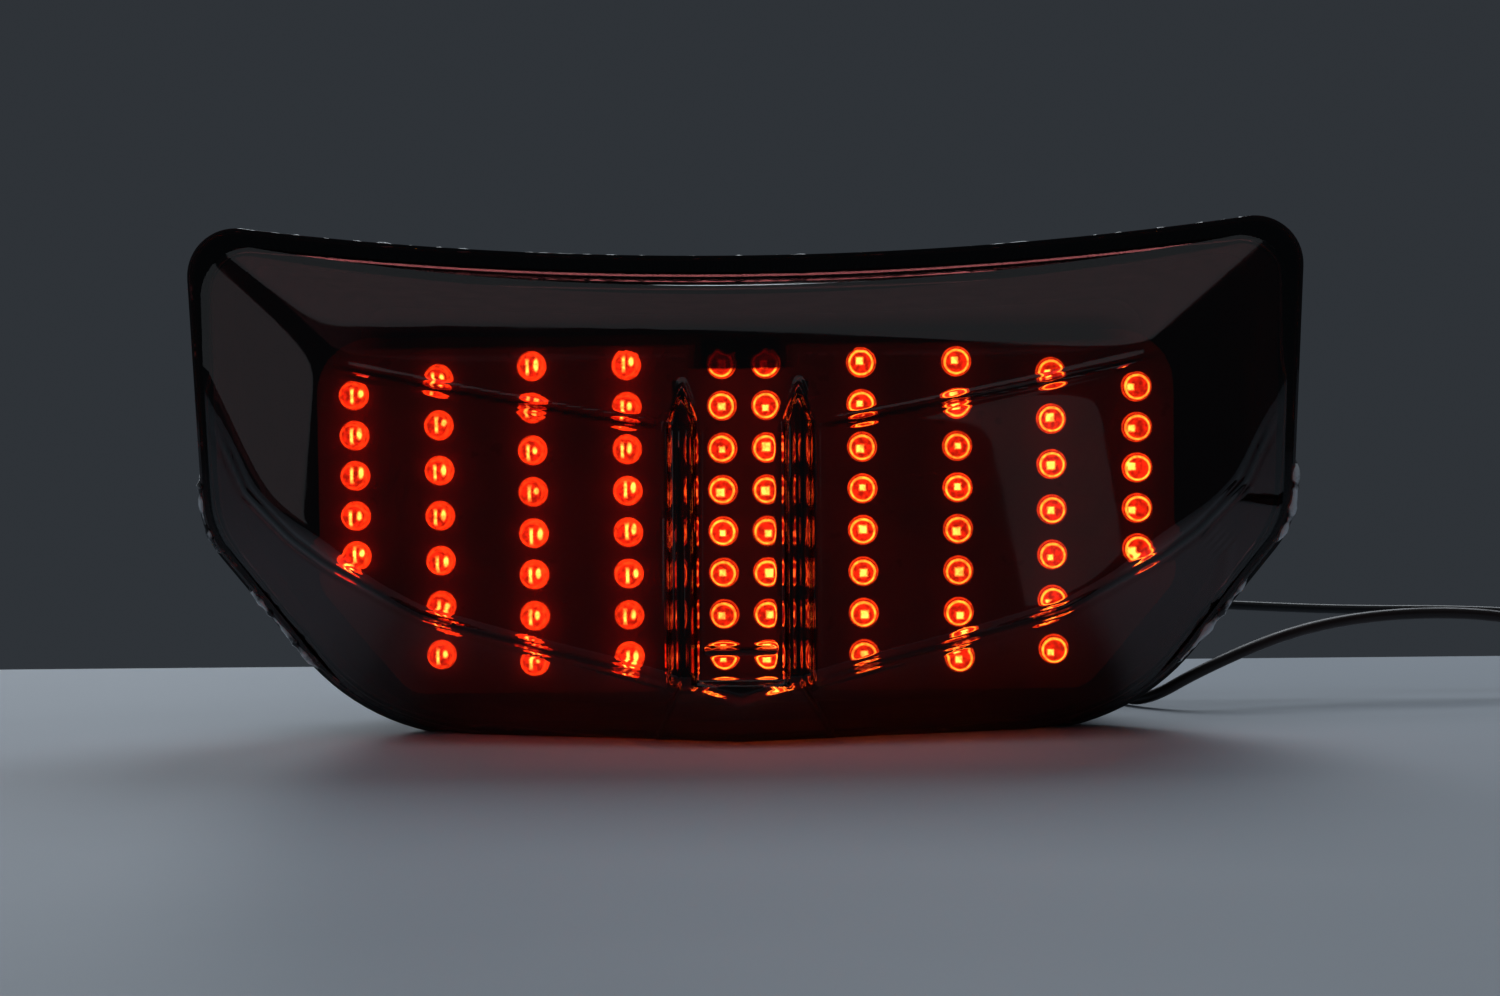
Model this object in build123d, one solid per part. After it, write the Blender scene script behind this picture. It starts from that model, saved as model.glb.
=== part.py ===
"""LED tail light for a motorcycle: a bonded lens and tub with a board of 72 LEDs inside.

Millimetres. X runs to the right seen from behind the motorcycle, +Y towards the motorcycle and +Z up.
The light stands on its flat underside. The origin is at the middle of its box, on that underside.
While a piece is made, the joint between lens and tub lies at y = 0 and the lens is at negative y.
write() then moves every piece by SHIFT_Y.
"""

import os
from math import hypot, pi, radians, tan

from build123d import *

# ---- Outlines, seen from the front. Each is symmetric about x = 0 -------------------------------
# crown: height of the concave top edge at x = 0, shoulder: its end, waist and foot: the two corners
# below it, which are rounded with the three radii in that order.
CORNER_RADII = (9.0, 18.0, 41.0)
RIM = {"crown": 88.7, "shoulder": (104.4, 96.3), "waist": (101.7, 38.1), "foot": (70.6, 0.0)}
LENS_BASE = {"crown": 86.4, "shoulder": (101.8, 93.4), "waist": (99.8, 38.4), "foot": (69.8, 0.0)}
LENS_FAR = {"crown": 75.6, "shoulder": (98.6, 82.6), "waist": (97.4, 39.3), "foot": (68.6, 0.8)}
LENS_FAR_AT = 45.0  # how far in front of the joint LENS_FAR lies
TUB_FRONT = {"crown": 84.6, "shoulder": (98.0, 91.4), "waist": (96.6, 39.0), "foot": (68.6, 0.0)}
TUB_BACK = {"crown": 79.6, "shoulder": (79.0, 82.6), "waist": (77.6, 36.0), "foot": (58.0, 0.0)}

# ---- Lens: six kinds of facet, each "how far forward" as a function of height and |x| ----------
LENS_WALL = 2.4
LENS_FLANGE = 3.0
# front-most line at x = 0: (height, reach), then how steeply it leans back, then the radius in plan
UPPER_FACET = ((82.7, 14.0), 0.60, 900.0)
BROW_FACET = ((72.5, 20.1), 0.45, 900.0)
MAIN_FACET = ((58.0, 26.6), 0.176, 440.0)
# flat facets: reach at the origin, growth with height, growth with |x|
SIDE_FACET = (63.3, -0.19, -0.43)
BOTTOM_FACET = (25.2, 1.10, -0.381)
CORNER_FACET = (65.3, 0.74, -0.907)
FLANK_FACET = (100.9, 0.10, -1.0)
UNDER_ROUND = 34.0  # blend between the bottom and corner facets
FLANK_ROUND = 22.0  # blend between the corner and flank facets
RIDGE_X, RIDGE_RISE = 10.6, 2.3  # two upright ridges stand in front of the main facets
RIDGE_HALF = (2.8, 1.6)  # half widths of a ridge at its foot and at its flat
RIDGE_SPAN = (12.0, 58.5, 65.0)  # bottom, shoulder and tip heights of a ridge
APRON = (10.5, 17.0, 13.5, 1.0)  # half widths at top and bottom, top height, rise

# ---- Tub -----------------------------------------------------------------------------------------
SEAL_GAP = 0.8  # bond line between the lens flange and the tub flange
TUB_FLANGE = 4.0
TUB_DEPTH = 38.0
TUB_WALL = 2.5
LIP_RISE, LIP_TOP = 1.0, 47.0  # the lower part of the tub flange is a little wider

# ---- LED board -----------------------------------------------------------------------------------
BOARD_Y, BOARD_T = 1.0, 1.6
BOARD_HALF, BOARD_TOP, BOARD_BOTTOM, BOARD_CHAMFER = 78.0, 72.5, 9.5, (16.0, 19.0)
LED_X = (4.1, 21.8, 39.4, 56.8, 72.5)
LED_ROWS = ((8, 14.2, 68.2), (8, 14.2, 68.2), (8, 14.2, 68.2), (7, 15.6, 66.0), (5, 33.4, 63.4))
LED_R, LED_FLANGE_R, LED_LENGTH, LED_STANDOFF = 2.5, 2.9, 8.6, 0.8
LEG_PITCH, LEG_SIDE, LEG_HOLE_R = 2.54, 0.5, 0.45
SOLDER = (0.95, 0.3, 1.2)  # base radius, tip radius, height
BOARD_SCREWS = [(sx * x, z) for sx in (-1, 1) for x, z in ((30.6, 13.5), (48.0, 67.5), (13.0, 37.5))]
SCREW_R, SCREW_HEAD_R, SCREW_HEAD_T, BOSS_R = 1.5, 2.8, 1.8, 3.6
BEZEL_Y, BEZEL_T, BEZEL_HOLE_R = -4.2, 1.6, 2.8
BEZEL_EDGE = 2.4  # width of the edge that turns back and rests on the board

# ---- Mounting ------------------------------------------------------------------------------------
EAR_X, EAR_Z, EAR_T, EAR_R, EAR_REACH = 52.0, 62.0, 4.0, 10.0, 14.0
EAR_HOLE_R, GROMMET_R, GROMMET_LENGTH = 5.6, 8.6, 10.0
COLLAR_R, COLLAR_BORE_R, COLLAR_HEAD = 4.0, 3.2, (7.0, 1.2)
GUSSET, GUSSET_T = 11.0, 2.0  # reach and thickness of the two gussets under an ear
PEG_R, PEG_LENGTH, PEG_Z, PEG_TIP = 4.0, 14.0, 22.0, 1.5
PEG_PAD = (7.0, 1.5)  # radius and thickness of the pad at the peg's root
VENT_X, VENT_Z = 22.0, 66.0
SPOUT_R, SPOUT_BORE_R, SPOUT_LENGTH = 2.6, 1.2, 5.0
CAP_R, CAP_LENGTH, CAP_GAP = 4.2, 8.0, 0.3
GLAND_X, GLAND_Z = 47.0, 19.0
GLAND_HOLE_R, GLAND_FLANGE_R, GLAND_NOSE = 4.5, 6.2, 6.0

# ---- Leads and plug ------------------------------------------------------------------------------
EARTH_D, FEED_D = 1.9, 2.3
BACK = TUB_DEPTH  # y of the tub's outer back face
NOSE_Y = BACK + 2.0 + GLAND_NOSE  # where the leads leave the grommet
COIL_X, COIL_Y, COIL_BASE = 186.0, 48.0, 0.5
EARTH_COIL_R, FEED_COIL_R = 10.0, 12.3
COIL_TURNS, COIL_PITCH = 2.25, 2.45
COIL_HEIGHT = COIL_TURNS * COIL_PITCH + FEED_D
COIL_TOP = COIL_BASE + COIL_HEIGHT
EARTH_ROUTE = [
    (45.6, NOSE_Y, 20.0), (45.6, NOSE_Y + 7.0, 20.0), (49.6, 60.0, 20.0), (59.6, 63.4, 19.8),
    (76.0, 62.0, 19.0), (95.0, 60.2, 17.9), (117.0, 60.0, 16.8), (139.0, 58.6, 16.7),
    (156.0, 58.8, 15.8), (172.0, 58.4, 12.4), (COIL_X, COIL_Y + EARTH_COIL_R, COIL_TOP + EARTH_D / 2),
]
FEED_ROUTE = [
    (48.4, NOSE_Y, 18.0), (48.4, NOSE_Y + 6.5, 18.0), (51.8, 59.0, 13.8), (58.8, 60.4, 8.2),
    (66.2, 54.8, 3.8), (71.0, 44.0, 1.5), (76.4, 33.6, 1.3), (87.0, 31.6, 7.6),
    (104.0, 42.0, 13.6), (120.0, 52.0, 16.0), (138.0, 55.2, 16.6), (153.0, 55.8, 15.0),
    (167.0, 60.2, 10.2), (COIL_X, COIL_Y + FEED_COIL_R, COIL_TOP + FEED_D / 2),
]
PLUG_X, PLUG_REAR, PLUG_SIZE = 195.2, 18.0, (16.0, 20.0, 8.0)
BOOT_LENGTH, BOOT_Z = 7.0, 3.7
EARTH_TAIL = [
    (COIL_X + EARTH_COIL_R, COIL_Y, COIL_BASE + EARTH_D / 2), (195.8, 37.6, 1.6),
    (193.6, 31.4, BOOT_Z), (193.6, PLUG_REAR + BOOT_LENGTH, BOOT_Z),
]
FEED_TAIL = [
    (COIL_X + FEED_COIL_R, COIL_Y, COIL_BASE + FEED_D / 2), (198.6, 38.4, 1.8),
    (196.8, 31.8, BOOT_Z), (196.8, PLUG_REAR + BOOT_LENGTH, BOOT_Z),
]
LATCH = (6.0, 13.0, 1.2, 1.4)  # width, length, thickness, gap over the plug
LATCH_PIVOT_R = 0.7
WAYS, WAY_PITCH, WAY_R = 3, 4.4, 1.2

EAR_BACK = BACK + EAR_REACH + EAR_R
FRONT_REACH = 37.97
SHIFT_Y = (FRONT_REACH - EAR_BACK) / 2


# ---- Helpers -------------------------------------------------------------------------------------
def outline(crown, shoulder, waist, foot):
    """Face in the joint plane inside one of the outlines above."""
    corners = [shoulder, waist, foot]
    path = [ThreePointArc((-shoulder[0], shoulder[1]), (0, crown), shoulder)]
    right = [*corners, (-foot[0], foot[1]), (-waist[0], waist[1]), (-shoulder[0], shoulder[1])]
    path += [Line(a, b) for a, b in zip(right, right[1:])]
    face = make_face(path)
    for (x, z), radius in zip(corners, CORNER_RADII):
        near = [v for v in face.vertices() if hypot(abs(v.X) - x, v.Y - z) < 0.01]
        face = fillet(near, radius)
    return face


def plate(face, front, back):
    """Solid between y = front and y = back, with the outline of a face drawn in x and z."""
    return extrude(Plane.XZ.offset(-back) * face, amount=back - front)


def hull(near, near_y, far, far_y):
    """Ruled solid between two outlines at two depths."""
    return loft([Plane.XZ.offset(-near_y) * near, Plane.XZ.offset(-far_y) * far], ruled=True)


def behind_curve(line, lean, radius, inset):
    """Everything behind a tilted cylinder whose front-most line passes (height, reach)."""
    height, reach = line
    size = hypot(1, lean)
    normal = Vector(0, -1 / size, lean / size)
    centre = Vector(0, -reach, height) - normal * radius
    return Plane(origin=centre, z_dir=Vector(0, lean, 1)) * Cylinder(radius - inset, 600)


def behind_flat(reach, with_height, with_x, inset, side):
    """Everything behind a flat facet of the lens on one side, +1 or -1."""
    normal = Vector(-with_x * side, -1, -with_height).normalized()
    start = Vector(side * 60, -(reach + with_x * 60 + with_height * 30), 30) - normal * inset
    return Plane(origin=start, z_dir=normal) * Pos(0, 0, -200) * Box(700, 700, 400)


def rod(x, z, radius, front, back):
    """Cylinder along Y between two depths."""
    return Pos(x, (front + back) / 2, z) * Rot(90, 0, 0) * Cylinder(radius, back - front)


def block(x0, x1, y0, y1, z0, z1):
    """Box between two corners."""
    return Pos((x0 + x1) / 2, (y0 + y1) / 2, (z0 + z1) / 2) * Box(x1 - x0, y1 - y0, z1 - z0)


def write(name, *shapes):
    """Moves the shapes to the part's origin and writes them as one node."""
    solids = [s for shape in shapes for s in shape.solids()]
    export_step(Pos(0, SHIFT_Y, 0) * Compound(children=solids), f"parts/{name}.step")


def tube(points, diameter, name):
    """Round tube along straight runs joined by tangent arcs, with its tightest bend printed."""
    corners = [Vector(*p) for p in points]
    radii = []
    for a, b, c in zip(corners, corners[1:], corners[2:]):
        turn = (b - a).get_angle(c - b)
        radii.append(0.45 * min((b - a).length, (c - b).length) / tan(radians(turn) / 2))
    path = FilletPolyline(*corners, radius=radii)
    start = Plane(origin=path @ 0, z_dir=path % 0)
    made = sweep(start * Circle(diameter / 2), path=path)
    share = made.volume / (pi * diameter**2 / 4 * path.length)
    bends = [round(r, 1) for r in radii]
    print(f"{name}: length {path.length:.1f}, radii {bends}, volume share {share:.4f}")
    return made


# ---- Lens ----------------------------------------------------------------------------------------
def under_envelope(inset):
    """The bottom, corner and flank facets of both sides, blended into each other."""
    made = None
    for side in (-1, 1):
        for facet in (BOTTOM_FACET, CORNER_FACET, FLANK_FACET):
            piece = behind_flat(*facet, inset, side)
            made = piece if made is None else made & piece
    made = made & block(-130, 130, -60, 90, -60, 150)
    rounds = ((BOTTOM_FACET, CORNER_FACET, UNDER_ROUND), (CORNER_FACET, FLANK_FACET, FLANK_ROUND))
    for one, other, radius in rounds:
        for side in (-1, 1):
            edge = shared_edge(made, one, other, side, inset)
            made = fillet(edge, radius - inset)
    return made


def shared_edge(solid, one, other, side, inset):
    """The edges along which two flat facets of one side meet."""
    def lies_on(edge, facet):
        normal = Vector(-facet[2] * side, -1, -facet[1]).normalized()
        start = Vector(side * 60, -(facet[0] + facet[2] * 60 + facet[1] * 30), 30) - normal * inset
        return all(abs((edge @ t - start).dot(normal)) < 0.01 for t in (0.2, 0.8))
    return [e for e in solid.edges() if lies_on(e, one) and lies_on(e, other)]


def ridge(side):
    """One upright ridge: a flat between two sloping flanks, with a pointed top."""
    low, shoulder, tip = RIDGE_SPAN
    foot, flat = RIDGE_HALF

    def section(half, bottom, shrink):
        x = side * RIDGE_X
        corners = [(x - half, bottom), (x + half, bottom), (x + half, shoulder), (x, tip - shrink),
                   (x - half, shoulder)]
        return make_face(Polyline(*corners, close=True))
    (height, reach), lean, radius = MAIN_FACET
    prism = hull(section(foot, low - 4, 0), -20, section(flat, low - 1, 2), -42)
    return prism & behind_curve((height, reach + RIDGE_RISE), lean, radius, 0)


def apron(inset):
    """The low trapezoid between the feet of the two ridges, on the bottom facets."""
    top, bottom, height, rise = APRON
    face = make_face(Polyline((-bottom, -1), (bottom, -1), (top, height), (-top, height), close=True))
    reach, with_height, _ = BOTTOM_FACET
    made = plate(offset(face, -inset) if inset else face, -60, -12)
    return made & behind_flat(reach + rise, with_height, 0, inset, 1)


def lens_envelope(inset, back):
    """Form of the lens, with every face moved inwards by inset, from its back plane forwards."""
    near, far = outline(**LENS_BASE), outline(**LENS_FAR)
    if inset:
        near, far = offset(near, -inset), offset(far, -inset)
    walls = hull(near, back, far, -LENS_FAR_AT)
    main = behind_curve(*MAIN_FACET, inset)
    made = walls & behind_curve(*BROW_FACET, inset) & behind_curve(*UPPER_FACET, inset)
    for side in (-1, 1):
        made = made & behind_flat(*SIDE_FACET, inset, side)
    under = under_envelope(inset)
    body = made & main & under
    body += apron(inset) & walls & main
    if inset:
        return body
    limit = made & behind_flat(BOTTOM_FACET[0] + 5, BOTTOM_FACET[1], 0, 0, 1)
    return body + (ridge(-1) & limit) + (ridge(1) & limit)


def make_lens():
    shell = lens_envelope(0, 0) + plate(outline(**RIM), -LENS_FLANGE, 0)
    return shell - lens_envelope(LENS_WALL, 0)


# ---- Tub, bond line and the things fixed to the tub ----------------------------------------------
def make_tub():
    front = SEAL_GAP
    rim = outline(**RIM)
    lip = plate(offset(rim, LIP_RISE), front, front + TUB_FLANGE) & block(-130, 130, 0, 60, 0, LIP_TOP)
    solid = plate(rim, front, front + TUB_FLANGE) + lip
    solid += hull(outline(**TUB_FRONT), front, outline(**TUB_BACK), TUB_DEPTH)
    hollow = hull(offset(outline(**TUB_FRONT), -TUB_WALL), front, offset(outline(**TUB_BACK), -TUB_WALL),
                  TUB_DEPTH - TUB_WALL)
    solid -= hollow
    inside = TUB_DEPTH - TUB_WALL / 2
    for x, z in BOARD_SCREWS:
        boss = rod(x, z, BOSS_R, BOARD_Y + BOARD_T, inside)
        solid += boss
        solid -= rod(x, z, SCREW_R, BOARD_Y + BOARD_T - 1, BOARD_Y + BOARD_T + 11)
    through = 2 * TUB_WALL
    for side in (-1, 1):
        solid -= rod(side * VENT_X, VENT_Z, SPOUT_BORE_R, BACK - through, BACK + 1)
    return solid - rod(GLAND_X, GLAND_Z, GLAND_HOLE_R, BACK - through, BACK + 1)


def make_ear(x):
    """Horizontal lug on the back wall with a hole for a rubber grommet, and two gussets."""
    centre = BACK + EAR_REACH
    made = block(x - EAR_R, x + EAR_R, BACK, centre, EAR_Z - EAR_T / 2, EAR_Z + EAR_T / 2)
    made += Pos(x, centre, EAR_Z) * Cylinder(EAR_R, EAR_T)
    for sx in (-1, 1):
        root = [(BACK, EAR_Z), (BACK + GUSSET, EAR_Z), (BACK, EAR_Z - GUSSET)]
        middle = x + sx * (EAR_R - GUSSET_T / 2)
        side = Plane.YZ.offset(middle - GUSSET_T / 2) * make_face(Polyline(*root, close=True))
        made += extrude(side, amount=GUSSET_T)
    return made - Pos(x, centre, EAR_Z) * Cylinder(EAR_HOLE_R, 4 * EAR_T)


def make_peg():
    """Peg in the middle of the back wall, on a round pad."""
    pad_r, pad_t = PEG_PAD
    peg = rod(0, PEG_Z, PEG_R, BACK, BACK + PEG_LENGTH)
    tip = peg.faces().sort_by(Axis.Y)[-1].edges()
    return chamfer(tip, PEG_TIP) + rod(0, PEG_Z, pad_r, BACK, BACK + pad_t)


def make_spout(x):
    """Breather spout on the back wall, round a hole through it."""
    spout = rod(x, VENT_Z, SPOUT_R, BACK, BACK + SPOUT_LENGTH)
    return spout - rod(x, VENT_Z, SPOUT_BORE_R, BACK - 1, BACK + SPOUT_LENGTH + 1)


def make_ear_grommet(x):
    """Rubber grommet held in an ear by a groove round it."""
    at = Pos(x, BACK + EAR_REACH, EAR_Z)
    groove = Cylinder(GROMMET_R + 1, EAR_T) - Cylinder(EAR_HOLE_R, EAR_T)
    body = Cylinder(GROMMET_R, GROMMET_LENGTH) - groove
    rims = [e for e in body.edges().filter_by(GeomType.CIRCLE)
            if abs(e.radius - GROMMET_R) < 0.01 and abs(abs(e.center().Z) - GROMMET_LENGTH / 2) < 0.01]
    return at * (fillet(rims, 1.0) - Cylinder(COLLAR_R, 2 * GROMMET_LENGTH))


def make_collar(x):
    """Steel sleeve through a grommet, with a flange under it."""
    head_r, head_t = COLLAR_HEAD
    sleeve = Cylinder(COLLAR_R, GROMMET_LENGTH)
    head = Pos(0, 0, -(GROMMET_LENGTH + head_t) / 2) * Cylinder(head_r, head_t)
    return Pos(x, BACK + EAR_REACH, EAR_Z) * (sleeve + head - Cylinder(COLLAR_BORE_R, 3 * GROMMET_LENGTH))


def make_bond():
    """Sealant between the two flanges."""
    ring = offset(outline(**RIM), -1.0) - offset(outline(**LENS_BASE), -LENS_WALL + 0.4)
    return plate(ring, 0, SEAL_GAP)


def make_gland():
    """Rubber grommet that the leads leave through, with a tapered nose."""
    wall = BACK - TUB_WALL
    neck = rod(GLAND_X, GLAND_Z, GLAND_HOLE_R, wall - 1, BACK + 1)
    inner = rod(GLAND_X, GLAND_Z, GLAND_FLANGE_R, wall - 2, wall)
    outer = rod(GLAND_X, GLAND_Z, GLAND_FLANGE_R, BACK, BACK + 2)
    nose = Pos(GLAND_X, BACK + 2 + GLAND_NOSE / 2, GLAND_Z) * Rot(-90, 0, 0) * Cone(4.6, 3.4, GLAND_NOSE)
    return neck + inner + outer + nose


def make_vent_cap(x):
    """Rubber cap over a breather spout."""
    body = rod(x, VENT_Z, CAP_R, BACK + CAP_GAP, BACK + CAP_LENGTH)
    body = fillet(body.faces().sort_by(Axis.Y)[-1].edges(), 1.4)
    slots = [Pos(x, BACK + 1.2, VENT_Z) * Rot(0, angle, 0) * Box(12, 1.8, 1.4) for angle in (0, 90)]
    return body - rod(x, VENT_Z, SPOUT_R, BACK, BACK + SPOUT_LENGTH) - slots[0] - slots[1]


# ---- Board ---------------------------------------------------------------------------------------
def led_places():
    """(column number from the left, x, z) of every LED."""
    places = []
    for side in (-1, 1):
        for x, (count, low, high) in zip(LED_X, LED_ROWS):
            column = len(LED_X) + (LED_X.index(x) + 1 if side > 0 else -LED_X.index(x))
            places += [(column, side * x, low + (high - low) * i / (count - 1)) for i in range(count)]
    return places


def board_face(grow=0.0):
    cut_x, cut_z = BOARD_CHAMFER
    right = [(BOARD_HALF, BOARD_TOP), (BOARD_HALF, BOARD_BOTTOM + cut_z), (BOARD_HALF - cut_x, BOARD_BOTTOM)]
    face = make_face(Polyline(*right, *[(-x, z) for x, z in reversed(right)], close=True))
    face = offset(face, grow, kind=Kind.INTERSECTION) if grow else face
    top = [v for v in face.vertices() if v.Y > BOARD_TOP - 1]
    face = fillet(top, 10.0)
    low = [v for v in face.vertices() if v.Y < BOARD_BOTTOM + cut_z + 3]
    return fillet(low, 6.0)


def make_board():
    holes = [rod(x, z + s * LEG_PITCH / 2, LEG_HOLE_R, BOARD_Y - 1, BOARD_Y + BOARD_T + 1)
             for _, x, z in led_places() for s in (-1, 1)]
    holes += [rod(x, z, SCREW_R + 0.2, BOARD_Y - 1, BOARD_Y + BOARD_T + 1) for x, z in BOARD_SCREWS]
    return plate(board_face(), BOARD_Y, BOARD_Y + BOARD_T) - holes


def make_bezel():
    """Dark panel in front of the board, with a hole for each LED and an edge that turns back."""
    face = board_face(1.2)
    solid = plate(face, BEZEL_Y, BEZEL_Y + BEZEL_T)
    solid += plate(face - offset(face, -BEZEL_EDGE), BEZEL_Y, BOARD_Y)
    holes = [rod(x, z, BEZEL_HOLE_R, BEZEL_Y - 1, BEZEL_Y + 3) for _, x, z in led_places()]
    return solid - holes


def led_body():
    """One LED pointing to -Y, with its flange on y = 0."""
    barrel = Pos(0, -(LED_LENGTH - LED_R) / 2, 0) * Rot(90, 0, 0) * Cylinder(LED_R, LED_LENGTH - LED_R)
    dome = Pos(0, -(LED_LENGTH - LED_R), 0) * Sphere(LED_R)
    flange = Pos(0, -0.5, 0) * Rot(90, 0, 0) * Cylinder(LED_FLANGE_R, 1.0)
    return barrel + dome + flange


def leg():
    """One LED leg with its solder joint behind the board."""
    back = BOARD_Y + BOARD_T
    pin = Pos(0, (BOARD_Y - LED_STANDOFF + back + 1.6) / 2, 0) * Box(
        LEG_SIDE, back + 1.6 - BOARD_Y + LED_STANDOFF, LEG_SIDE)
    base_r, tip_r, height = SOLDER
    joint = Pos(0, back + height / 2, 0) * Rot(-90, 0, 0) * Cone(base_r, tip_r, height)
    return pin + joint


def make_screw(x, z):
    """Pan-head screw through the board into a boss."""
    head = rod(x, z, SCREW_HEAD_R, BOARD_Y - SCREW_HEAD_T, BOARD_Y)
    head = fillet(head.faces().sort_by(Axis.Y)[0].edges(), 0.9)
    slots = [Pos(x, BOARD_Y - SCREW_HEAD_T, z) * Rot(0, angle, 0) * Box(3.0, 1.6, 0.7) for angle in (0, 90)]
    return head + rod(x, z, SCREW_R, BOARD_Y, BOARD_Y + BOARD_T + 9) - slots[0] - slots[1]


def make_resistors():
    """Ballast resistors lying on the back of the board between the LED columns."""
    back = BOARD_Y + BOARD_T
    made = []
    for x in (-64.6, -48.0, -30.6, 30.6, 48.0, 64.6):
        for z in (26.0, 42.0, 58.0):
            body = Pos(x, back + 1.4, z) * Cylinder(1.15, 4.2)
            ends = [Pos(x, back + 1.4, z + s * 2.3) * Cylinder(1.3, 1.4) for s in (-1, 1)]
            legs = [Pos(x, back + 1.4, z + s * 4.0) * Cylinder(0.3, 2.4) for s in (-1, 1)]
            feet = [Pos(x, back + 0.9, z + s * 5.2) * Box(0.8, 1.8, 0.8) for s in (-1, 1)]
            made.append(body + ends + legs + feet)
    return made


def make_diodes():
    """Polarity diodes on the back of the board."""
    back = BOARD_Y + BOARD_T
    made = []
    for z in (20.5, 25.5, 30.5):
        body = Pos(13.0, back + 1.5, z) * Rot(0, 90, 0) * Cylinder(1.35, 5.0)
        legs = [Pos(13.0 + s * 3.4, back + 1.5, z) * Rot(0, 90, 0) * Cylinder(0.35, 1.8) for s in (-1, 1)]
        feet = [Pos(13.0 + s * 4.1, back + 1.0, z) * Box(0.9, 2.0, 0.9) for s in (-1, 1)]
        made.append(body + legs + feet)
    return made


def make_capacitor():
    """Electrolytic capacitor standing on the back of the board."""
    back = BOARD_Y + BOARD_T
    can = rod(-13.0, 26.0, 4.0, back, back + 11.0)
    can = fillet(can.faces().sort_by(Axis.Y)[-1].edges(), 0.8)
    groove = rod(-13.0, 26.0, 5.0, back + 1.4, back + 2.2) - rod(-13.0, 26.0, 3.7, back + 1.4, back + 2.2)
    return can - groove


def make_regulator(x):
    """Power transistor lying on the back of the board, tab upwards."""
    back = BOARD_Y + BOARD_T
    body = block(x - 5, x + 5, back + 0.2, back + 4.6, 50.0, 59.0)
    tab = block(x - 5, x + 5, back + 0.2, back + 1.5, 59.0, 65.0) - rod(x, 62.3, 1.8, back - 1, back + 3)
    legs = [block(x + dx - 0.4, x + dx + 0.4, back + 1.6, back + 2.2, 44.8, 50.0) for dx in (-2.54, 0, 2.54)]
    feet = [block(x + dx - 0.4, x + dx + 0.4, back, back + 2.2, 44.2, 44.8) for dx in (-2.54, 0, 2.54)]
    return body + tab + legs + feet


# ---- Leads and plug ------------------------------------------------------------------------------
def make_inner_wires():
    """Three wires from the back of the board to the grommet."""
    start, end = BOARD_Y + BOARD_T, BACK - TUB_WALL - 2
    made = []
    for i, (x, z) in enumerate(((36.0, 31.0), (38.6, 33.6), (41.2, 36.2))):
        goal = (GLAND_X - 2.0 + 2.0 * i, GLAND_Z - 1.0 + 1.4 * (i % 2))
        points = [(x, start, z), (x, start + 8, z), (goal[0], end - 9, goal[1]), (goal[0], end, goal[1])]
        made.append(tube(points, 1.5, f"inner wire {i + 1}"))
    return made


def coil_ring(radius, diameter):
    """The outer shape of one lead's coil."""
    ring = Cylinder(radius + diameter / 2, COIL_HEIGHT) - Cylinder(radius - diameter / 2, COIL_HEIGHT + 2)
    return Pos(COIL_X, COIL_Y, COIL_BASE + COIL_HEIGHT / 2) * ring


def clear_of_coil(tail):
    """The stretch of a lead's end that lies outside the coil."""
    return tail - Pos(COIL_X, COIL_Y, 0) * Cylinder(FEED_COIL_R + FEED_D / 2, 40)


def make_tie():
    """Strap round the coil, on the side towards the light, with its lock on the inside."""
    strap = block(8.3, 14.1, -1.25, 1.25, 0, COIL_TOP + COIL_BASE)
    hollow = block(8.9, 13.6, -2, 2, COIL_BASE, COIL_TOP)
    lock = block(5.6, 8.5, -2.2, 2.2, 3.0, 6.4)
    return Pos(COIL_X, COIL_Y, 0) * Rot(0, 0, 200) * (strap - hollow + lock)


def make_plug():
    width, length, height = PLUG_SIZE
    y0, y1 = PLUG_REAR - length, PLUG_REAR
    body = block(PLUG_X - width / 2, PLUG_X + width / 2, y0 + 6, y1, 0, height)
    snout = block(PLUG_X - width / 2 + 1.2, PLUG_X + width / 2 - 1.2, y0, y0 + 7, 1.2, height - 1.2)
    body = fillet(body.edges().filter_by(Axis.Y), 1.2) + fillet(snout.edges().filter_by(Axis.Y), 0.8)
    for i in range(WAYS):
        body -= rod(PLUG_X + (i - 1) * WAY_PITCH, height / 2, WAY_R, y0 - 1, y0 + 9)
    ribs = [block(PLUG_X + s * 4.9 - 0.7, PLUG_X + s * 4.9 + 0.7, y0 + 9, y0 + 13, height, height + 2.6)
            for s in (-1, 1)]
    pivot_y, pivot_z = latch_pivot()
    hole = Pos(PLUG_X, pivot_y, pivot_z) * Rot(0, 90, 0) * Cylinder(LATCH_PIVOT_R + 0.06, 20)
    return body + ribs - hole


def latch_pivot():
    """(y, z) of the latch's rocking axis."""
    return PLUG_REAR - PLUG_SIZE[1] + 11.0, PLUG_SIZE[2] + LATCH[3]


def make_latch():
    """Rocking lever over the plug: a hook at the front and a ribbed pad at the back."""
    width, length, thick, gap = LATCH
    pivot_y, pivot_z = latch_pivot()
    x0, x1 = PLUG_X - width / 2, PLUG_X + width / 2
    low = pivot_z - thick / 2
    front, rear = pivot_y - 0.45 * length, pivot_y + 0.55 * length
    arm = block(x0, x1, front, rear, low, low + thick)
    hook = block(x0, x1, front, front + 1.4, low - 0.5, low + 0.1)
    pad = [block(x0, x1, rear - 1.0 - 1.5 * i, rear - 0.3 - 1.5 * i, low + thick, low + thick + 0.5)
           for i in range(3)]
    pin = Pos(PLUG_X, pivot_y, pivot_z) * Rot(0, 90, 0) * Cylinder(LATCH_PIVOT_R, 2 * 5.4)
    return arm + hook + pad + pin


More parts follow.
